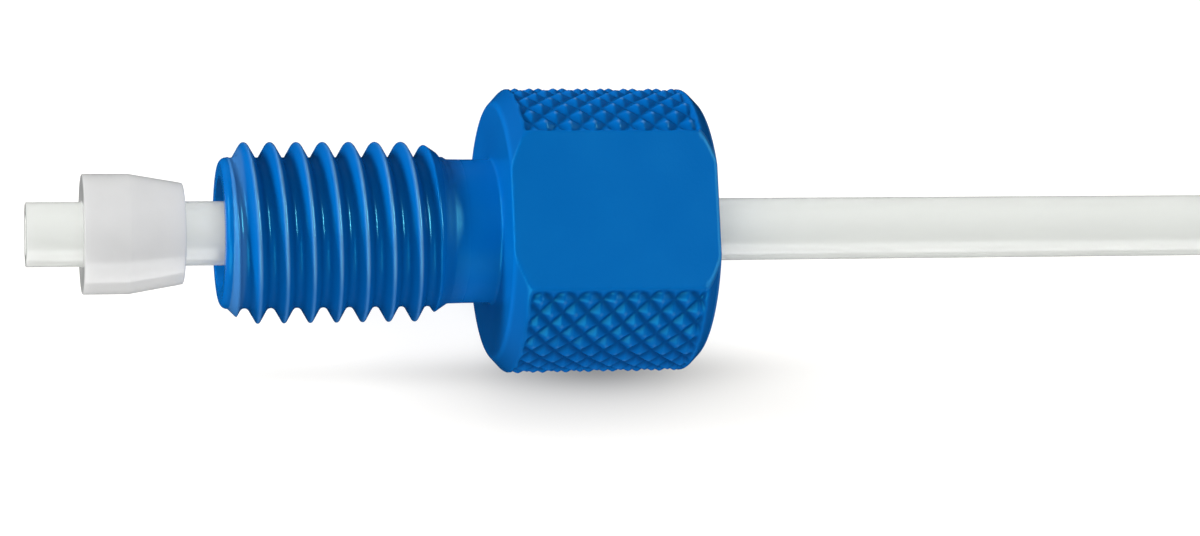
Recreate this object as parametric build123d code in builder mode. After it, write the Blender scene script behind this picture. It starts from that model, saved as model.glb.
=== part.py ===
"""Finger-tight tube fitting: one-piece male nut, reversed-cone ferrule and tube.

Frame: the fitting lies on one of its nut's two wrench flats. The origin is the
centre of that flat, +Z points up, and +X runs along the fitting's axis from
the thread end towards the knurled head. Profiles are drawn in (x, r), where x
is counted from the thread's end face and r from the axis.
All lengths are millimetres.
"""

from build123d import *
from math import radians, tan
import os

os.makedirs("parts", exist_ok=True)

# --- nut: 1/4-28 UNF external thread -------------------------------------
THREAD_R = 3.12          # crest radius of the finished thread
THREAD_END_X = 6.93      # last full crest
TIP_R = 2.60             # unthreaded lead-in, at the thread's root radius
TIP_ROUND = 0.24         # rounded rim of the end face
TIP_X = 0.26             # where the 45 degree lead-in cone starts
NECK_R = 2.50            # plain neck behind the thread
NECK_X = 7.86            # where the run-out cone meets the neck
NECK_FILLET = 0.12

# --- nut: head -----------------------------------------------------------
HEAD_X0 = 9.44           # front face
HEAD_X1 = 16.65          # rear face
HEAD_R = 5.00            # radius over the knurl
FACE_R0 = 4.42           # rim of the front face, inside its chamfer
FACE_R1 = 4.48           # rim of the rear face
CHAMFER_X0 = 0.54        # axial length of the front chamfer
CHAMFER_X1 = 0.52        # axial length of the rear chamfer
CHAMFER_ROUND = 0.50     # soft shoulder between each chamfer and the knurl
FLAT_H = 4.20            # axis to either wrench flat

# --- nut: inside ---------------------------------------------------------
BORE_R = 1.17            # tube passage
MOUTH_R = 1.95           # socket for the ferrule's cone
SOCKET_DEPTH = 1.70
SOCKET_NECK = 2.15       # where the socket has narrowed to the bore
BORE_LEAD = 0.20         # countersunk rear rim of the bore

# --- ferrule -------------------------------------------------------------
FERRULE_X0 = -4.66       # flat sealing face
FERRULE_BODY = 1.55      # cylindrical length
FERRULE_CONE = 1.85      # conical length, narrowing towards the nut
FERRULE_R = 2.05
FERRULE_NOSE_R = 1.73
FERRULE_BORE_R = 1.13
FERRULE_ROUND = 0.06

# --- tube ----------------------------------------------------------------
TUBE_X0 = -6.54          # square-cut end beyond the ferrule
TUBE_LENGTH = 60.0
TUBE_R = 1.10
TUBE_BORE_R = 0.70

CONE_ANGLE = radians(9.81)  # half angle shared by ferrule and socket
socket_r = MOUTH_R - SOCKET_DEPTH * tan(CONE_ANGLE)

# The thread's end face lies this far along X, so that the head is centred on
# the origin, and the axis runs one flat height above it.
FACE_X = -(HEAD_X0 + HEAD_X1) / 2
axial = Plane(origin=(FACE_X, 0, FLAT_H), x_dir=(1, 0, 0), z_dir=(0, -1, 0))
shaft = Axis((FACE_X, 0, FLAT_H), (1, 0, 0))

# Nut: turned profile, then two parallel wrench flats.
with BuildPart() as nut:
    with BuildSketch(axial) as nut_profile:
        with BuildLine() as nut_outline:
            Polyline(
                (0, MOUTH_R),
                (0, TIP_R),
                (TIP_X, TIP_R),
                (TIP_X + THREAD_R - TIP_R, THREAD_R),
                (THREAD_END_X, THREAD_R),
                (NECK_X, NECK_R),
                (HEAD_X0, NECK_R),
                (HEAD_X0, FACE_R0),
                (HEAD_X0 + CHAMFER_X0, HEAD_R),
                (HEAD_X1 - CHAMFER_X1, HEAD_R),
                (HEAD_X1, FACE_R1),
                (HEAD_X1, BORE_R + BORE_LEAD),
                (HEAD_X1 - BORE_LEAD, BORE_R),
                (SOCKET_NECK, BORE_R),
                (SOCKET_DEPTH, socket_r),
                close=True,
            )
        make_face()
        tip_rim = nut_profile.vertices().sort_by_distance((0, TIP_R, 0))[0]
        fillet(tip_rim, TIP_ROUND)
        neck_corner = nut_profile.vertices().sort_by_distance((HEAD_X0, NECK_R, 0))[0]
        fillet(neck_corner, NECK_FILLET)
        for x in (HEAD_X0 + CHAMFER_X0, HEAD_X1 - CHAMFER_X1):
            shoulder = nut_profile.vertices().sort_by_distance((x, HEAD_R, 0))[0]
            fillet(shoulder, CHAMFER_ROUND)
    revolve(axis=shaft)
    head_length = HEAD_X1 - HEAD_X0
    with BuildSketch(Plane.XY.offset(2 * FLAT_H)):
        Rectangle(head_length + 2, 2 * HEAD_R + 2)
    extrude(amount=HEAD_R, mode=Mode.SUBTRACT)
    with BuildSketch(Plane.XY):
        Rectangle(head_length + 2, 2 * HEAD_R + 2)
    extrude(amount=-HEAD_R, mode=Mode.SUBTRACT)

# Ferrule: short cylinder with a flat sealing face, then the cone.
with BuildPart() as ferrule:
    with BuildSketch(axial) as ferrule_profile:
        with BuildLine() as ferrule_outline:
            Polyline(
                (FERRULE_X0, FERRULE_BORE_R),
                (FERRULE_X0, FERRULE_R),
                (FERRULE_X0 + FERRULE_BODY, FERRULE_R),
                (FERRULE_X0 + FERRULE_BODY + FERRULE_CONE, FERRULE_NOSE_R),
                (FERRULE_X0 + FERRULE_BODY + FERRULE_CONE, FERRULE_BORE_R),
                close=True,
            )
        make_face()
        for x, r in (
            (FERRULE_X0, FERRULE_R),
            (FERRULE_X0 + FERRULE_BODY + FERRULE_CONE, FERRULE_NOSE_R),
        ):
            rim = ferrule_profile.vertices().sort_by_distance((x, r, 0))[0]
            fillet(rim, FERRULE_ROUND)
    revolve(axis=shaft)

# Tube: straight, cut square at both ends.
tube_end = Plane(origin=(FACE_X + TUBE_X0, 0, FLAT_H), x_dir=(0, 1, 0), z_dir=(1, 0, 0))
with BuildPart() as tube:
    with BuildSketch(tube_end):
        Circle(TUBE_R)
        Circle(TUBE_BORE_R, mode=Mode.SUBTRACT)
    extrude(amount=TUBE_LENGTH)

nut.part.label = "nut"
ferrule.part.label = "ferrule"
tube.part.label = "tube"

export_step(nut.part, "parts/nut.step")
export_step(ferrule.part, "parts/ferrule.step")
export_step(tube.part, "parts/tube.step")

for piece in (nut.part, ferrule.part, tube.part):
    print(piece.label, round(piece.volume, 2), piece.bounding_box())
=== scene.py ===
"""Looks for the finger-tight tube fitting: a knurled nut, its ferrule and its tube.

Everything is in metres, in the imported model's own frame: +X runs along the
fitting from the thread end to the knurled head, +Z is up out of the upper
wrench flat. Profiles are worked out in millimetres, with x counted from the
thread's end face and r from the axis, and turned into metres at the end.
"""

from math import acos, atan2, ceil, cos, degrees, pi, radians, sin, sqrt, tan

import bpy
import numpy as np
from mathutils import Matrix, Vector


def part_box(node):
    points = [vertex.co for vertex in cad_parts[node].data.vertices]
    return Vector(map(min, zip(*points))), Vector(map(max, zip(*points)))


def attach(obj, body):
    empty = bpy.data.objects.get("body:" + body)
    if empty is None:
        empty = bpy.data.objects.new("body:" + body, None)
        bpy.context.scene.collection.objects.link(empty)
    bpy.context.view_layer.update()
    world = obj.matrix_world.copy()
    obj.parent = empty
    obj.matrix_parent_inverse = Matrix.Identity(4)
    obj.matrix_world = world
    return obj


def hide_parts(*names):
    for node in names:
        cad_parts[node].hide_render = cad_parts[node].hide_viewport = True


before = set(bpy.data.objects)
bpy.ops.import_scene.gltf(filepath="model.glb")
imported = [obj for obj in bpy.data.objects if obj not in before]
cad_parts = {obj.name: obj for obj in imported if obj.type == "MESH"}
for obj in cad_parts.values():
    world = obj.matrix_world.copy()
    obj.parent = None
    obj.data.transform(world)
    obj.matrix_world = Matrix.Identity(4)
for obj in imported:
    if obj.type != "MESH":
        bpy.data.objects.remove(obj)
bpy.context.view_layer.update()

MM = 0.001
lo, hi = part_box("nut")
AXIS_Z = (lo[2] + hi[2]) / 2 / MM      # the fitting's axis, above the flat it lies on
FACE_X = lo[0] / MM                    # the thread's end face

# --- shared sizes, mm -------------------------------------------------------
PITCH = 25.4 / 28
THREAD_R, THREAD_DEPTH = 3.12, 0.530
CREST_ROUND = 0.075                    # radius of the thread's crest
THREAD_PHASE = 0.8348 - PITCH * 8.755 / 360
TIP_R, TIP_ROUND, TIP_X = 2.60, 0.24, 0.26
THREAD_END, NECK_X, NECK_R, NECK_FILLET = 6.93, 7.86, 2.50, 0.12
HEAD_X0, HEAD_X1, HEAD_R = 9.44, 16.65, 5.00
FACE_R0, FACE_R1 = 4.42, 4.48
CHAMFER_X0, CHAMFER_X1, SHOULDER = 0.54, 0.52, 0.50
FLAT_H = 4.20
BORE_R, MOUTH_R, SOCKET_DEPTH, SOCKET_NECK, BORE_LEAD = 1.17, 1.95, 1.70, 2.15, 0.20
CONE = tan(radians(9.81))
KNURL_AROUND, KNURL_STEP, KNURL_DEPTH = 30, 0.845, 0.215


# --- mesh helpers -----------------------------------------------------------
class Surface:
    """Collects vertices given as (x, r, angle) round the fitting's axis."""

    def __init__(self):
        self.verts, self.faces = [], []
        # per vertex: painted highlight (mark), painted shade (deep) and roughness (dull)
        self.mark, self.deep, self.dull = [], [], []

    def ring(self, x, r, angle, mark=0.0):
        """Adds one vertex per angle and returns their numbers."""
        x = np.broadcast_to(x, angle.shape)
        r = np.broadcast_to(r, angle.shape)
        mark = np.broadcast_to(mark, angle.shape)
        start = len(self.verts)
        self.verts.extend(
            zip(x + FACE_X, r * np.cos(angle), AXIS_Z + r * np.sin(angle))
        )
        self.mark.extend(mark)
        self.deep.extend(np.zeros(len(angle)))
        self.dull.extend(np.zeros(len(angle)))
        return np.arange(start, start + len(angle))

    def face(self, *ids):
        """Adds a face, without the corners that have run together."""
        out = []
        for i in ids:
            if not out or out[-1] != i:
                out.append(int(i))
        if len(out) > 1 and out[0] == out[-1]:
            out.pop()
        if len(set(out)) == len(out) and len(out) > 2:
            self.faces.append(tuple(out))

    def strip(self, a, b):
        """Joins two closed rings that have the same number of vertices."""
        n = len(a)
        for j in range(n):
            k = (j + 1) % n
            self.face(a[j], b[j], b[k], a[k])

    def stitch(self, a, angle_a, b, angle_b):
        """Joins two closed rings with different numbers of vertices."""
        i = j = 0
        na, nb = len(a), len(b)
        while i < na or j < nb:
            next_a = angle_a[(i + 1) % na] + 2 * pi * ((i + 1) // na) if i < na else 9e9
            next_b = angle_b[(j + 1) % nb] + 2 * pi * ((j + 1) // nb) if j < nb else 9e9
            if next_a <= next_b:
                self.face(a[i % na], b[j % nb], a[(i + 1) % na])
                i += 1
            else:
                self.face(a[i % na], b[j % nb], b[(j + 1) % nb])
                j += 1

    def object(self, name, marked=False):
        verts = np.array(self.verts, float) * MM
        mesh = bpy.data.meshes.new(name)
        mesh.from_pydata(verts.tolist(), [], [f[::-1] for f in self.faces])
        if marked:
            for attribute, values in (
                ("painted_highlight", self.mark), ("painted_shade", self.deep), ("dull", self.dull)
            ):
                layer = mesh.attributes.new(attribute, "FLOAT", "POINT")
                layer.data.foreach_set("value", np.array(values, np.float32))
        mesh.update()
        mesh.validate()
        mesh.polygons.foreach_set("use_smooth", [True] * len(mesh.polygons))
        obj = bpy.data.objects.new(name, mesh)
        bpy.context.scene.collection.objects.link(obj)
        return obj


def smooth_min(a, b, k):
    h = np.clip(0.5 + 0.5 * (b - a) / k, 0, 1)
    return b + (a - b) * h - k * h * (1 - h)


def smoothstep(a, b, v):
    t = np.clip((v - a) / (b - a), 0, 1)
    return t * t * (3 - 2 * t)


def rounded(points, radii, steps=6):
    """A polyline in (x, r) whose corners are rounded with these radii."""
    out = []
    for i, (p, radius) in enumerate(zip(points, radii)):
        p = np.array(p, float)
        if radius <= 0 or i in (0, len(points) - 1):
            out.append(p)
            continue
        a = np.array(points[i - 1], float) - p
        b = np.array(points[i + 1], float) - p
        a /= np.linalg.norm(a)
        b /= np.linalg.norm(b)
        half = acos(np.clip(a @ b, -1, 1)) / 2
        reach = radius / tan(half)
        centre = p + (a + b) / np.linalg.norm(a + b) * radius / sin(half)
        start, end = p + a * reach - centre, p + b * reach - centre
        t0 = atan2(start[1], start[0])
        turn = (atan2(end[1], end[0]) - t0 + pi) % (2 * pi) - pi
        for s in range(steps + 1):
            t = t0 + turn * s / steps
            out.append(centre + radius * np.array([cos(t), sin(t)]))
    return out


def spread(a, b, n):
    """n points strictly between a and b."""
    return [a + (b - a) * (i + 1) / (n + 1) for i in range(n)]


# --- the nut's thread -------------------------------------------------------
ROOT_ROUND = PITCH * sqrt(3) / 2 - THREAD_DEPTH - CREST_ROUND
CREST_HALF = CREST_ROUND * sin(pi / 3)
ROOT_HALF = ROOT_ROUND * sin(pi / 3)


def thread_r(u):
    """Radius of the thread form, u mm along the axis from the nearest crest."""
    u = np.abs(u)
    v = PITCH / 2 - u
    crest = THREAD_R - CREST_ROUND + np.sqrt(
        np.maximum(CREST_ROUND**2 - np.minimum(u, CREST_HALF) ** 2, 0)
    )
    root = THREAD_R - THREAD_DEPTH + ROOT_ROUND - np.sqrt(
        np.maximum(ROOT_ROUND**2 - np.minimum(v, ROOT_HALF) ** 2, 0)
    )
    flank = THREAD_R - CREST_ROUND / 2 - (u - CREST_HALF) * sqrt(3)
    return np.where(u < CREST_HALF, crest, np.where(v < ROOT_HALF, root, flank))


def from_crest(x, angle):
    turns = (x - THREAD_PHASE) / PITCH - angle / (2 * pi)
    return (turns - np.round(turns)) * PITCH


def shank_r(x, angle):
    """Outside radius of the threaded shank, lead-in and run-out included."""
    lead = np.where(x < TIP_X, TIP_R, TIP_R + (x - TIP_X))
    inside = np.clip(TIP_ROUND - x, 0, TIP_ROUND)
    lead = lead - (TIP_ROUND - np.sqrt(np.maximum(TIP_ROUND**2 - inside**2, 0)))
    run_out = THREAD_R - (x - THREAD_END) * (THREAD_R - NECK_R) / (NECK_X - THREAD_END)
    r = smooth_min(thread_r(from_crest(x, angle)), lead, 0.025)
    run_out = -smooth_min(-run_out, np.full_like(run_out, -NECK_R), 0.06)
    return smooth_min(r, run_out, 0.03)


def build_nut():
    s = Surface()
    columns = 170
    turn = np.arange(columns) * 2 * pi / columns

    # Inside and end face: rear rim, bore, socket, mouth, then out over the rim.
    socket_r = MOUTH_R - SOCKET_DEPTH * CONE
    inner = rounded(
        [
            (HEAD_X1, BORE_R + BORE_LEAD + 0.30),
            (HEAD_X1, BORE_R + BORE_LEAD),
            (HEAD_X1 - BORE_LEAD, BORE_R),
            (12.0, BORE_R),
            (7.0, BORE_R),
            (SOCKET_NECK, BORE_R),
            (SOCKET_DEPTH, socket_r),
            (0.85, MOUTH_R - 0.85 * CONE),
            (0.0, MOUTH_R),
            (0.0, (MOUTH_R + TIP_R - TIP_ROUND) / 2),
            (0.0, TIP_R - TIP_ROUND),
        ],
        [0, 0.03, 0.05, 0, 0, 0.08, 0.10, 0, 0.05, 0, 0],
        4,
    )
    rings = [s.ring(x, r, turn) for x, r in inner]
    for a, b in zip(rings, rings[1:]):
        s.strip(a, b)

    # The rim's rounding, the lead-in, the thread and its run-out: a grid whose
    # rows follow the helix, cut square at both ends.
    start_x, end_x = 0.0, NECK_X + 0.02
    crest = list(np.linspace(-CREST_HALF, CREST_HALF, 7))
    flank = spread(CREST_HALF, PITCH / 2 - ROOT_HALF, 5)
    root = list(np.linspace(PITCH / 2 - ROOT_HALF, PITCH / 2 + ROOT_HALF, 8))
    back = [PITCH - f for f in reversed(flank)]
    offsets = np.array(crest + flank + root + back)
    per_turn = len(offsets)
    turns_before, turns_after = 3, int(ceil(end_x / PITCH)) + 2
    rows = per_turn * (turns_before + turns_after)
    base = np.array(
        [THREAD_PHASE + PITCH * (k // per_turn - turns_before) + offsets[k % per_turn]
         for k in range(rows)]
    )
    grid_x = base[:, None] + PITCH * turn[None, :] / (2 * pi)
    fine = [0.0, 0.003, 0.012, 0.03, 0.055, 0.09, 0.13, 0.18, 0.23]
    rim = [rings[-1]] + [s.ring(x, shank_r(np.full(columns, x), turn), turn) for x in fine[1:]]
    for a, b in zip(rim, rim[1:]):
        s.strip(a, b)
    cut0, cut1 = fine[-1], end_x
    # rows that would come very near the cuts snap onto them
    grid_x = np.where(grid_x < cut0 + 0.008, cut0, grid_x)
    grid_x = np.where(grid_x > cut1 - 0.008, cut1, grid_x)
    end_ring = s.ring(cut1, shank_r(np.full(columns, cut1), turn), turn)
    inside = (grid_x > cut0) & (grid_x < cut1)
    radius = shank_r(grid_x, np.broadcast_to(turn, grid_x.shape))
    # painted highlight: paler colour along the thread's crests, strongest on the upper side, and
    # over the lead-in cone
    painted_highlight = np.exp(-((from_crest(grid_x, turn[None, :]) / 0.055) ** 2))
    painted_highlight *= smoothstep(THREAD_R - 0.12, THREAD_R - 0.01, radius)
    lead = smoothstep(0.16, 0.28, grid_x) * (1 - smoothstep(0.62, 0.74, grid_x))
    painted_highlight *= 0.4 + 0.6 * smoothstep(0.60, 0.90, np.sin(turn))[None, :]
    painted_highlight = np.maximum(painted_highlight, 0.42 * lead)
    # painted shade: darker colour in the thread's roots, fading out at both ends, and over the
    # run-out
    thread_painted_shade = 0.55 * smoothstep(THREAD_R - 0.15, THREAD_R - THREAD_DEPTH, radius)
    thread_painted_shade *= smoothstep(0.35, 0.75, grid_x) * (1 - smoothstep(7.2, 7.7, grid_x))
    # the run-out is rougher than the thread, and darker by painted shade
    run_dull = 0.5 * smoothstep(7.35, 7.65, grid_x)
    thread_painted_shade = np.maximum(thread_painted_shade, 0.35 * smoothstep(7.20, 7.60, grid_x))
    # the run-out's end ring: the same roughness and painted shade
    for i in end_ring:
        s.dull[i], s.deep[i] = 0.5, 0.35
    ids = np.zeros(grid_x.shape, int)
    for j in range(columns):
        ids[:, j] = np.where(grid_x[:, j] <= cut0, rim[-1][j], end_ring[j])
        use = np.nonzero(inside[:, j])[0]
        n0 = len(s.verts)
        a = turn[j]
        for k in use:
            r = radius[k, j]
            s.verts.append((grid_x[k, j] + FACE_X, r * cos(a), AXIS_Z + r * sin(a)))
            s.mark.append(painted_highlight[k, j])
            s.deep.append(thread_painted_shade[k, j])
            s.dull.append(run_dull[k, j])
        ids[use, j] = np.arange(n0, n0 + len(use))
    for k in range(rows - 1):
        for j in range(columns):
            if j + 1 < columns:
                a2, b2 = ids[k, j + 1], ids[k + 1, j + 1]
            elif k + 1 + per_turn < rows:
                a2, b2 = ids[k + per_turn, 0], ids[k + 1 + per_turn, 0]
            else:
                continue
            s.face(ids[k, j], ids[k + 1, j], b2, a2)

    # Neck, its fillet and the first ring of the head's front face.
    neck = rounded(
        [(end_x, NECK_R), (8.4, NECK_R), (8.9, NECK_R), (HEAD_X0, NECK_R), (HEAD_X0, 2.95)],
        [0, 0, 0, NECK_FILLET, 0],
        5,
    )[1:]
    last = end_ring
    for x, r in neck:
        ring = s.ring(x, r, turn)
        s.strip(last, ring)
        last = ring
    front_inner, rear_inner = last, rings[0]

    # The head. Its angles are the knurl's grid with extra columns at the edges
    # of the flats, and its rows the knurl's grid with extra rows at the ends.
    per = 15
    grid = np.arange(KNURL_AROUND * per) * 2 * pi / (KNURL_AROUND * per)
    edge = acos(FLAT_H / HEAD_R)
    edges = [c + d for c in (pi / 2, 3 * pi / 2) for d in (-edge, edge)]
    extra = [e + radians(q) for e in edges
             for q in (-1.6, -0.8, -0.5, -0.25, 0, 0.25, 0.5, 0.8, 1.6)]
    keep = [a for a in grid if all(abs(a - e) > radians(2.0) for e in edges)]
    head_angles = np.array(sorted(keep + extra))
    corner = 0.09
    fine_x = [corner * (1 - cos(t)) for t in np.linspace(0, pi / 2, 6)]
    shoulder0 = list(np.linspace(fine_x[-1], CHAMFER_X0 + 0.25, 15))[1:]
    shoulder1 = list(np.linspace(fine_x[-1], CHAMFER_X1 + 0.25, 15))[1:]
    x_first, x_last = HEAD_X0 + shoulder0[-1], HEAD_X1 - shoulder1[-1]
    n = int(round((x_last - x_first) / (KNURL_STEP / per)))
    body = list(np.linspace(x_first, x_last, n + 1))[1:-1]
    head_x = np.array(
        [HEAD_X0 + v for v in fine_x + shoulder0]
        + body
        + [HEAD_X1 - v for v in reversed(fine_x + shoulder1)]
    )
    profile = rounded(
        [
            (HEAD_X0 - 0.4, FACE_R0 - 0.4 * (HEAD_R - FACE_R0) / CHAMFER_X0),
            (HEAD_X0 + CHAMFER_X0, HEAD_R),
            (HEAD_X1 - CHAMFER_X1, HEAD_R),
            (HEAD_X1 + 0.4, FACE_R1 - 0.4 * (HEAD_R - FACE_R1) / CHAMFER_X1),
        ],
        [0, SHOULDER, SHOULDER, 0],
        10,
    )
    profile = np.array(profile)
    turned_r = np.interp(head_x, profile[:, 0], profile[:, 1])
    near_end = np.minimum(head_x - HEAD_X0, HEAD_X1 - head_x)
    inside = np.clip(corner - near_end, 0, corner)
    rim_drop = corner - np.sqrt(np.maximum(corner**2 - inside**2, 0))

    X, A = np.meshgrid(head_x, head_angles, indexing="ij")
    # distance, along the surface, to the flats' edges and to the shoulders
    off = np.abs((A + pi / 2) % pi - pi / 2)          # angle from the Y axis
    off = np.abs(off)
    to_flat = (pi / 2 - edge - off) * HEAD_R          # positive on the knurl
    to_end0 = X - (HEAD_X0 + CHAMFER_X0)
    to_end1 = (HEAD_X1 - CHAMFER_X1) - X
    p = X / KNURL_STEP + KNURL_PHASE_X
    q = A / (2 * pi) * KNURL_AROUND + KNURL_PHASE_A
    # each family of grooves wanders a little, as cut knurling does
    ta = p + q + 0.03 * np.sin(2.3 * X + 3 * A) + 0.02 * np.sin(5.1 * A + 1.0)
    tb = p - q + 0.03 * np.sin(1.9 * X - 4 * A + 2.0) + 0.02 * np.sin(7.3 * A)
    da = np.abs(ta - np.round(ta))
    db = np.abs(tb - np.round(tb))
    rise = np.minimum(da, db) / 0.5                   # 0 in a groove, 1 at a tip
    rise = smooth_min(rise, np.full_like(rise, 0.93), 0.10)
    uneven = 1 + 0.07 * np.sin(3.7 * ta + 1.3 * tb) * np.sin(2.1 * tb + 0.7)
    fade = smoothstep(0.0, 0.26, to_flat)
    fade *= smoothstep(-0.02, 0.16, to_end0) * smoothstep(-0.02, 0.16, to_end1)
    groove = KNURL_DEPTH * uneven * (1 - rise) * fade
    r_flat = FLAT_H / np.maximum(np.abs(np.sin(A)), 0.05)
    r = smooth_min(turned_r[:, None] - groove, r_flat, 0.035) - rim_drop[:, None]
    on_flat = r_flat < turned_r[:, None]
    back = smoothstep(-0.2, 0.2, np.cos(A))           # tips on the far (+Y) side are paler and grooves there less dark: painted highlight and shade
    # painted highlight: paler colour on the knurl's tips
    tip_highlight = (0.22 + 0.40 * back) * smoothstep(0.72, 0.95, rise) * fade * (to_flat > 0)
    # painted shade: darker colour in the knurl's grooves and over the turned chamfers at both ends
    # of the head
    head_painted_shade = (1.0 - 0.45 * back) * (1 - smoothstep(0.0, 0.68, rise)) * fade * (to_flat > 0)
    front = smoothstep(0.05, 0.14, X - HEAD_X0) * (1 - smoothstep(-0.12, 0.05, to_end0))
    rear = smoothstep(0.05, 0.14, HEAD_X1 - X) * (1 - smoothstep(-0.12, 0.05, to_end1))
    head_painted_shade = np.maximum(head_painted_shade, (0.4 * front + 0.45 * rear) * ~on_flat)
    # the flats' rear edges are dull, where the turned chamfer cuts them
    edge_off = np.abs(r_flat - turned_r[:, None])
    dull = (1 - smoothstep(0.04, 0.12, edge_off)) * (X > HEAD_X1 - CHAMFER_X1 - 0.1)
    dull = np.maximum(dull, smoothstep(HEAD_X1 - 0.14, HEAD_X1 - 0.09, X))

    # The middle of each flat is one plain face: rows and columns well inside it.
    rows_n, cols_n = X.shape
    flat_col = np.array([o > pi / 2 - edge + radians(1.5) for o in off[0]])
    flat_row0 = int(np.searchsorted(head_x, HEAD_X0 + CHAMFER_X0 + 0.35))
    flat_row1 = int(np.searchsorted(head_x, HEAD_X1 - CHAMFER_X1 - 0.35))
    used = np.ones((rows_n, cols_n), bool)
    spans = []
    j = 0
    while j < cols_n:
        if flat_col[j]:
            k = j
            while k + 1 < cols_n and flat_col[k + 1]:
                k += 1
            spans.append((j, k))
            used[flat_row0 + 1:flat_row1, j + 1:k] = False
            j = k
        j += 1
    ids = np.full((rows_n, cols_n), -1)
    for i in range(rows_n):
        for j in np.nonzero(used[i])[0]:
            ids[i, j] = len(s.verts)
            a = head_angles[j]
            s.verts.append((X[i, j] + FACE_X, r[i, j] * cos(a), AXIS_Z + r[i, j] * sin(a)))
            s.mark.append(tip_highlight[i, j])
            s.deep.append(head_painted_shade[i, j])
            s.dull.append(dull[i, j])
    for i in range(rows_n - 1):
        for j in range(cols_n):
            j2 = (j + 1) % cols_n
            corners = ids[i, j], ids[i + 1, j], ids[i + 1, j2], ids[i, j2]
            inside_flat = any(
                j0 <= j < k0 and flat_row0 <= i < flat_row1 for j0, k0 in spans
            )
            if inside_flat:
                continue
            if fade[i, j] > 0 and not on_flat[i, j]:
                # the nearer family of grooves runs along the cell's diagonal
                if min(da[i, j], da[i + 1, j2]) < min(db[i + 1, j], db[i, j2]):
                    s.face(corners[0], corners[1], corners[3])
                    s.face(corners[1], corners[2], corners[3])
                else:
                    s.face(corners[0], corners[1], corners[2])
                    s.face(corners[0], corners[2], corners[3])
            else:
                s.face(*corners)
    for j0, k0 in spans:
        loop = [ids[flat_row0, j] for j in range(j0, k0 + 1)]
        loop += [ids[i, k0] for i in range(flat_row0 + 1, flat_row1 + 1)]
        loop += [ids[flat_row1, j] for j in range(k0 - 1, j0 - 1, -1)]
        loop += [ids[i, j0] for i in range(flat_row1 - 1, flat_row0, -1)]
        s.faces.append(tuple(int(v) for v in reversed(loop)))

    # Front face: the head's rim in to the neck. Rear face: rim in to the bore.
    rim_r = r[0]
    inner = s.ring(HEAD_X0, rim_r - 0.12, head_angles)
    s.strip(inner, ids[0])
    s.stitch(front_inner, turn, inner, head_angles)
    rim_r = r[-1]
    outer = s.ring(HEAD_X1, rim_r - 0.12, head_angles)
    s.strip(ids[-1], outer)
    s.stitch(outer, head_angles, rear_inner, turn)
    return s.object("nut_moulding", True)


def lathe(name, profile, columns):
    """A closed profile in (x, r), turned round the fitting's axis."""
    s = Surface()
    turn = np.arange(columns) * 2 * pi / columns
    rings = [s.ring(x, r, turn) for x, r in profile]
    for a, b in zip(rings, rings[1:] + rings[:1]):
        s.strip(a, b)
    return s.object(name)


KNURL_PHASE_X, KNURL_PHASE_A = -0.27, -0.24

nut = build_nut()

# --- ferrule: cylinder with a flat sealing face, cone towards the nut --------
FX0, F_BODY, F_CONE, F_R, F_NOSE, F_BORE = -4.66, 1.55, 1.85, 2.05, 1.73, 1.13
fx1, fx2 = FX0 + F_BODY, FX0 + F_BODY + F_CONE
ferrule_profile = rounded(
    [
        (FX0 + 0.8, F_BORE), (FX0 + 0.3, F_BORE), (FX0, F_BORE), (FX0, 1.6), (FX0, F_R),
        (FX0 + 0.5, F_R), (FX0 + 1.0, F_R), (fx1, F_R),
        (fx1 + 0.6, F_R + (F_NOSE - F_R) * 0.6 / F_CONE),
        (fx1 + 1.2, F_R + (F_NOSE - F_R) * 1.2 / F_CONE),
        (fx2, F_NOSE), (fx2, 1.4), (fx2, F_BORE), (fx2 - 0.6, F_BORE), (FX0 + 1.6, F_BORE),
    ],
    [0, 0, 0.05, 0, 0.06, 0, 0, 0.12, 0, 0, 0.06, 0, 0.05, 0, 0],
    5,
)
ferrule = lathe("ferrule_body", ferrule_profile, 160)

# --- tube: straight, cut square ---------------------------------------------
TX0, TX1, T_R, T_BORE = -6.54, 53.46, 1.10, 0.70
stations = [TX0 + 2.0 + 4.0 * i for i in range(14)]
tube_profile = rounded(
    [(TX0 + 1.0, T_BORE), (TX0, T_BORE), (TX0, T_R)]
    + [(x, T_R) for x in stations]
    + [(TX1, T_R), (TX1, T_BORE)]
    + [(x, T_BORE) for x in reversed(stations)],
    [0, 0.02, 0.03] + [0] * 14 + [0.03, 0.02] + [0] * 14,
    3,
)
tube = lathe("tube_capillary", tube_profile, 96)


# --- materials --------------------------------------------------------------
def material(name):
    m = bpy.data.materials.new(name)
    m.use_nodes = True
    nodes, links = m.node_tree.nodes, m.node_tree.links
    nodes.clear()
    out = nodes.new("ShaderNodeOutputMaterial")
    shader = nodes.new("ShaderNodeBsdfPrincipled")
    links.new(shader.outputs["BSDF"], out.inputs["Surface"])
    return m, nodes, links, shader


def noise(nodes, links, coords, scale, detail=3.0, rough=0.55, stretch=None):
    if stretch:
        mapping = nodes.new("ShaderNodeMapping")
        mapping.inputs["Scale"].default_value = stretch
        links.new(coords, mapping.inputs["Vector"])
        coords = mapping.outputs["Vector"]
    n = nodes.new("ShaderNodeTexNoise")
    n.inputs["Scale"].default_value = scale
    n.inputs["Detail"].default_value = detail
    n.inputs["Roughness"].default_value = rough
    links.new(coords, n.inputs["Vector"])
    return n.outputs["Fac"]


def ramp(nodes, links, value, stops):
    n = nodes.new("ShaderNodeValToRGB")
    e = n.color_ramp.elements
    e[0].position, e[0].color = stops[0][0], (*stops[0][1], 1)
    e[1].position, e[1].color = stops[-1][0], (*stops[-1][1], 1)
    for at, color in stops[1:-1]:
        new = e.new(at)
        new.color = (*color, 1)
    links.new(value, n.inputs["Fac"])
    return n.outputs["Color"]


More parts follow.
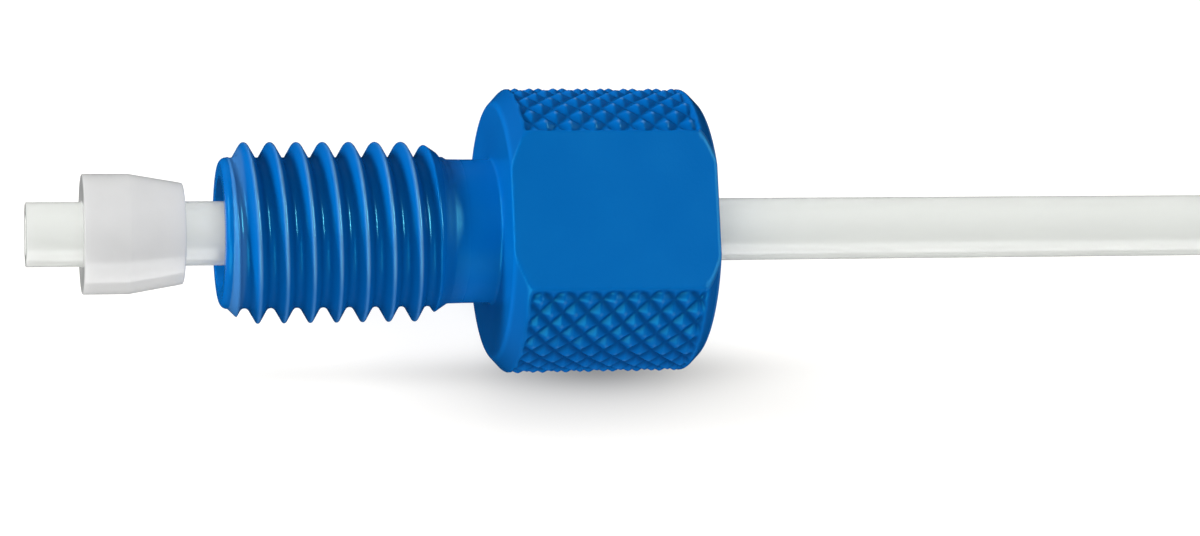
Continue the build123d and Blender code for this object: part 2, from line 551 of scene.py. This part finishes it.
def remap(nodes, links, value, lo_, hi_, a=0.3, b=0.7):
    n = nodes.new("ShaderNodeMapRange")
    n.inputs["From Min"].default_value, n.inputs["From Max"].default_value = a, b
    n.inputs["To Min"].default_value, n.inputs["To Max"].default_value = lo_, hi_
    links.new(value, n.inputs["Value"])
    return n.outputs["Result"]


def mix_color(nodes, links, factor, a, b, mode="MIX"):
    n = nodes.new("ShaderNodeMix")
    n.data_type, n.blend_type = "RGBA", mode
    for socket, value in ((n.inputs[0], factor), (n.inputs[6], a), (n.inputs[7], b)):
        if isinstance(value, (float, int)):
            socket.default_value = value
        elif isinstance(value, tuple):
            socket.default_value = (*value, 1)
        else:
            links.new(value, socket)
    return n.outputs[2]


def bump(nodes, links, height, distance, strength, normal=None):
    n = nodes.new("ShaderNodeBump")
    n.inputs["Distance"].default_value = distance
    n.inputs["Strength"].default_value = strength
    links.new(height, n.inputs["Height"])
    if normal is not None:
        links.new(normal, n.inputs["Normal"])
    return n.outputs["Normal"]


# Blue moulded plastic: satin, with a fine moulded grain and faint flow marks. Its colour is paler
# on thread crests, the lead-in and knurl tips (painted highlight) and darker in roots, grooves,
# chamfers and the run-out (painted shade).
blue, nodes, links, shader = material("blue_plastic")
where = nodes.new("ShaderNodeTexCoord").outputs["Object"]
cloud = noise(nodes, links, where, 420, 3, 0.5)
grain = noise(nodes, links, where, 9000, 3, 0.6)
flow = noise(nodes, links, where, 700, 4, 0.55, (0.35, 1, 1))
color = ramp(nodes, links, cloud, [
    (0.30, (0.0, 0.092, 0.340)), (0.50, (0.0, 0.095, 0.347)), (0.72, (0.0, 0.099, 0.354))])
color = mix_color(nodes, links, remap(nodes, links, flow, 0.0, 0.25, 0.45, 0.75), color,
                  (0.0, 0.097, 0.350))
# painted highlight from the nut's vertex values
painted_highlight = nodes.new("ShaderNodeAttribute")
painted_highlight.attribute_name = "painted_highlight"
color = mix_color(nodes, links, remap(nodes, links, painted_highlight.outputs["Fac"], 0.0, 0.8, 0.0, 1.0),
                  color, (0.090, 0.235, 0.430))
# painted shade from the nut's vertex values
painted_shade_attr = nodes.new("ShaderNodeAttribute")
painted_shade_attr.attribute_name = "painted_shade"
color = mix_color(nodes, links, remap(nodes, links, painted_shade_attr.outputs["Fac"], 0.0, 0.85, 0.0, 1.0),
                  color, (0.0, 0.034, 0.145))
links.new(color, shader.inputs["Base Color"])
dull = nodes.new("ShaderNodeAttribute")
dull.attribute_name = "dull"
rough = nodes.new("ShaderNodeMath")
rough.operation = "MULTIPLY_ADD"
rough.inputs[1].default_value = 0.45
links.new(dull.outputs["Fac"], rough.inputs[0])
links.new(remap(nodes, links, cloud, 0.21, 0.25), rough.inputs[2])
links.new(rough.outputs[0], shader.inputs["Roughness"])
shader.inputs["IOR"].default_value = 1.46
shader.inputs["Specular IOR Level"].default_value = 0.16
shader.inputs["Specular Tint"].default_value = (0.12, 1.0, 1.0, 1)
normal = bump(nodes, links, grain, 0.000012, 0.35)
normal = bump(nodes, links, flow, 0.00002, 0.08, normal)
links.new(normal, shader.inputs["Normal"])

# Milky fluoropolymer: soft grey white, a little light passes into it.
milky, nodes, links, shader = material("milky_polymer")
where = nodes.new("ShaderNodeTexCoord").outputs["Object"]
cloud = noise(nodes, links, where, 500, 3, 0.5)
turned = noise(nodes, links, where, 2600, 3, 0.6, (4.0, 0.25, 0.25))
color = ramp(nodes, links, cloud, [
    (0.30, (0.670, 0.672, 0.674)), (0.55, (0.695, 0.697, 0.698)), (0.75, (0.715, 0.716, 0.717))])
links.new(color, shader.inputs["Base Color"])
links.new(remap(nodes, links, cloud, 0.16, 0.24), shader.inputs["Roughness"])
shader.inputs["IOR"].default_value = 1.40
shader.inputs["Specular IOR Level"].default_value = 0.4
shader.inputs["Subsurface Weight"].default_value = 0.6
shader.inputs["Subsurface Radius"].default_value = (1.0, 1.0, 1.0)
shader.inputs["Subsurface Scale"].default_value = 0.0006
shader.inputs["Transmission Weight"].default_value = 0.10
links.new(bump(nodes, links, turned, 0.00001, 0.25), shader.inputs["Normal"])

# Clear polymer tube.
clear, nodes, links, shader = material("clear_polymer")
where = nodes.new("ShaderNodeTexCoord").outputs["Object"]
cloud = noise(nodes, links, where, 260, 3, 0.5, (0.25, 1, 1))
drawn = noise(nodes, links, where, 2400, 3, 0.55, (0.03, 1, 1))
color = ramp(nodes, links, cloud, [
    (0.30, (0.728, 0.740, 0.722)), (0.70, (0.748, 0.760, 0.742))])
links.new(color, shader.inputs["Base Color"])
links.new(remap(nodes, links, cloud, 0.12, 0.18), shader.inputs["Roughness"])
shader.inputs["IOR"].default_value = 1.33
shader.inputs["Specular IOR Level"].default_value = 0.5
shader.inputs["Subsurface Weight"].default_value = 0.9
shader.inputs["Subsurface Radius"].default_value = (1.0, 1.0, 1.0)
shader.inputs["Subsurface Scale"].default_value = 0.0008
shader.inputs["Transmission Weight"].default_value = 0.30
links.new(bump(nodes, links, drawn, 0.000008, 0.3), shader.inputs["Normal"])

for obj, mat, name in ((nut, blue, "nut"), (ferrule, milky, "ferrule"), (tube, clear, "tube")):
    obj.data.materials.append(mat)
    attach(obj, name)
    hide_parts(name)

ferrule.visible_shadow = tube.visible_shadow = False

# --- stage ------------------------------------------------------------------
floor_mesh = bpy.data.meshes.new("floor")
ring = [(0.9 * cos(2 * pi * i / 96), 0.9 * sin(2 * pi * i / 96), 0.0) for i in range(96)]
floor_mesh.from_pydata(ring, [], [tuple(range(96))])
floor = bpy.data.objects.new("floor", floor_mesh)
bpy.context.scene.collection.objects.link(floor)
floor.visible_glossy = floor.visible_shadow = False
paper, nodes, links, shader = material("paper_floor")
where = nodes.new("ShaderNodeTexCoord").outputs["Object"]
tone = noise(nodes, links, where, 60, 3, 0.5)
links.new(ramp(nodes, links, tone, [(0.3, (0.310, 0.300, 0.280)), (0.7, (0.316, 0.306, 0.286))]),
          shader.inputs["Base Color"])
shader.inputs["Roughness"].default_value = 0.9
shader.inputs["Specular IOR Level"].default_value = 0.0
# The floor glows evenly, like a light table, and is darker in painted shadows: soft pools round
# the foot of the head, in front of the fitting, under the thread and where the head rests. Each is
# (x, y), reach, depth and how square the pool's edge is, mm.
shader.inputs["Emission Color"].default_value = (1, 1, 1, 1)
level = 0.815
for centre, reach, depth, square in (
    ((1.35, -4.50), (5.59, 0.943), 0.450, 1.0),
    ((1.13, -5.88), (11.08, 1.228), 0.180, 1.0),
    ((-7.68, -4.41), (13.30, 0.506), 0.152, 1.0),
    ((0.90, 0.00), (3.70, 3.70), 0.700, 2.0),
):
    local = nodes.new("ShaderNodeMapping")
    local.inputs["Location"].default_value = (-centre[0] / reach[0], -centre[1] / reach[1], 0)
    local.inputs["Scale"].default_value = (1 / reach[0] / MM, 1 / reach[1] / MM, 0)
    links.new(where, local.inputs["Vector"])
    squared = nodes.new("ShaderNodeVectorMath")
    squared.operation = "DOT_PRODUCT"
    links.new(local.outputs["Vector"], squared.inputs[0])
    links.new(local.outputs["Vector"], squared.inputs[1])
    painted_shadow = squared.outputs["Value"]
    for operation, value in (
        ("POWER", square), ("MULTIPLY", -1.0), ("EXPONENT", None), ("MULTIPLY", depth)
    ):
        step = nodes.new("ShaderNodeMath")
        step.operation = operation
        if value is not None:
            step.inputs[1].default_value = value
        links.new(painted_shadow, step.inputs[0])
        painted_shadow = step.outputs[0]
    left = nodes.new("ShaderNodeMath")
    left.operation = "SUBTRACT"
    if isinstance(level, float):
        left.inputs[0].default_value = level
    else:
        links.new(level, left.inputs[0])
    links.new(painted_shadow, left.inputs[1])
    level = left.outputs[0]
links.new(level, shader.inputs["Emission Strength"])
floor_mesh.materials.append(paper)

world = bpy.data.worlds.new("studio")
bpy.context.scene.world = world
world.use_nodes = True
world.cycles.sampling_method = "NONE"     # so that its light-path mix below holds
nodes, links = world.node_tree.nodes, world.node_tree.links
nodes.clear()
out = nodes.new("ShaderNodeOutputWorld")
path = nodes.new("ShaderNodeLightPath")
seen = nodes.new("ShaderNodeBackground")
seen.inputs["Strength"].default_value = 1.0
backdrop = nodes.new("ShaderNodeBackground")
backdrop.inputs["Color"].default_value = (1, 1, 1, 1)
backdrop.inputs["Strength"].default_value = 1.0
fill = nodes.new("ShaderNodeBackground")
fill.inputs["Strength"].default_value = 0.55
gloss = nodes.new("ShaderNodeBackground")
gloss.inputs["Color"].default_value = (0.05, 0.80, 0.80, 1)
gloss.inputs["Strength"].default_value = 0.01
mix1, mix2, mix3 = (nodes.new("ShaderNodeMixShader") for _ in range(3))
# a mirror image on a surface sees a dark studio, but one inside clear plastic a white one
deep = nodes.new("ShaderNodeMath")
deep.operation = "LESS_THAN"
deep.inputs[1].default_value = 0.5
links.new(path.outputs["Transmission Depth"], deep.inputs[0])
first = nodes.new("ShaderNodeMath")
first.operation = "MULTIPLY"
links.new(path.outputs["Is Glossy Ray"], first.inputs[0])
links.new(deep.outputs[0], first.inputs[1])
inner = nodes.new("ShaderNodeMath")
inner.operation = "SUBTRACT"
links.new(path.outputs["Is Glossy Ray"], inner.inputs[0])
links.new(first.outputs[0], inner.inputs[1])
links.new(first.outputs[0], mix1.inputs["Fac"])
links.new(fill.outputs[0], mix1.inputs[1])
links.new(gloss.outputs[0], mix1.inputs[2])
either = nodes.new("ShaderNodeMath")
either.operation = "MAXIMUM"
links.new(path.outputs["Is Transmission Ray"], either.inputs[0])
links.new(inner.outputs[0], either.inputs[1])
links.new(either.outputs[0], mix2.inputs["Fac"])
links.new(mix1.outputs[0], mix2.inputs[1])
links.new(seen.outputs[0], mix2.inputs[2])
links.new(path.outputs["Is Camera Ray"], mix3.inputs["Fac"])
links.new(mix2.outputs[0], mix3.inputs[1])
links.new(backdrop.outputs[0], mix3.inputs[2])
links.new(mix3.outputs[0], out.inputs["Surface"])


def lamp(name, direction, distance, size, watts, diffuse=True, gloss=True,
         along=(0, 0, 1), tint=(1, 1, 1)):
    """An area light aimed at the origin, for broad light, for highlights or for both."""
    data = bpy.data.lights.new(name, "AREA")
    data.shape = "RECTANGLE"
    data.size, data.size_y = size
    data.energy = watts
    data.color = tint
    obj = bpy.data.objects.new(name, data)
    d = Vector(direction).normalized()
    side = Vector(along).cross(d).normalized()
    obj.matrix_world = Matrix.Translation(d * distance) @ Matrix(
        (side, d.cross(side), d)
    ).transposed().to_4x4()
    obj.visible_diffuse, obj.visible_glossy = diffuse, gloss
    obj.visible_camera = obj.visible_transmission = False
    bpy.context.scene.collection.objects.link(obj)
    return obj


def only_on(light, *receivers):
    """Lets a highlight light act on these objects alone."""
    group = bpy.data.collections.new(light.name + "_receivers")
    for receiver in receivers:
        group.objects.link(receiver)
    light.light_linking.receiver_collection = group


SKY = (0.55, 0.50, 0.60)
lamp("key", (-0.20, 0.20, 0.95), 0.8, (0.6, 0.4), 2.4, gloss=False)
only_on(lamp("left_fill", (-0.86, 0.44, 0.22), 0.7, (0.25, 0.20), 5.6, gloss=False), nut, floor)
only_on(lamp("front_fill", (0.0, -0.9, 0.45), 0.8, (0.8, 0.5), 4.6, gloss=False), nut, floor)
only_on(lamp("soft_top", (-0.25, 0.25, 0.94), 0.8, (0.8, 0.8), 2.7, gloss=False), ferrule, tube)
only_on(lamp("low_fill", (0.0, -0.86, -0.50), 0.8, (0.7, 0.4), 3.4, gloss=False), ferrule, tube)
only_on(lamp("strip", (0.75, 0.20, 0.66), 0.6, (0.06, 0.50), 16.0, diffuse=False,
             along=(0, 1, 0), tint=SKY), nut)
only_on(lamp("spark", (0.63, 0.17, 0.76), 0.6, (0.03, 0.30), 28.0, diffuse=False,
             along=(0, 1, 0), tint=SKY), nut)
only_on(lamp("panel", (-0.93, 0.20, 0.32), 0.7, (0.60, 0.20), 14.0, diffuse=False,
             tint=(0.22, 0.48, 0.60)), nut)
only_on(lamp("rake", (-0.64, -0.60, 0.46), 0.7, (0.45, 0.50), 9.0, diffuse=False,
             tint=(0.35, 0.75, 0.85)), nut)
only_on(lamp("front_band", (0.0, -1.0, 0.0), 0.6, (0.70, 0.56), 7.6, diffuse=False),
        ferrule, tube)

# --- camera -----------------------------------------------------------------
forward = Vector((0.214844, 0.146641, -0.965577))
up = Vector((0.010664, 0.988253, 0.152457))
forward = (forward + up * (1.3 / 3209.3)).normalized()
right = forward.cross(up).normalized()
up = right.cross(forward)
camera_data = bpy.data.cameras.new("camera")
camera_data.sensor_width = 36.0
camera_data.lens = 96.279
camera_data.clip_start, camera_data.clip_end = 0.001, 10.0
camera = bpy.data.objects.new("camera", camera_data)
turn_matrix = Matrix((right, up, -forward)).transposed().to_4x4()
camera.matrix_world = Matrix.Translation(Vector((-23.9327, -17.9007, 112.8997)) * MM) @ turn_matrix
bpy.context.scene.collection.objects.link(camera)
bpy.context.scene.camera = camera

bpy.context.scene.view_settings.view_transform = "Standard"
bpy.context.scene.view_settings.look = "None"
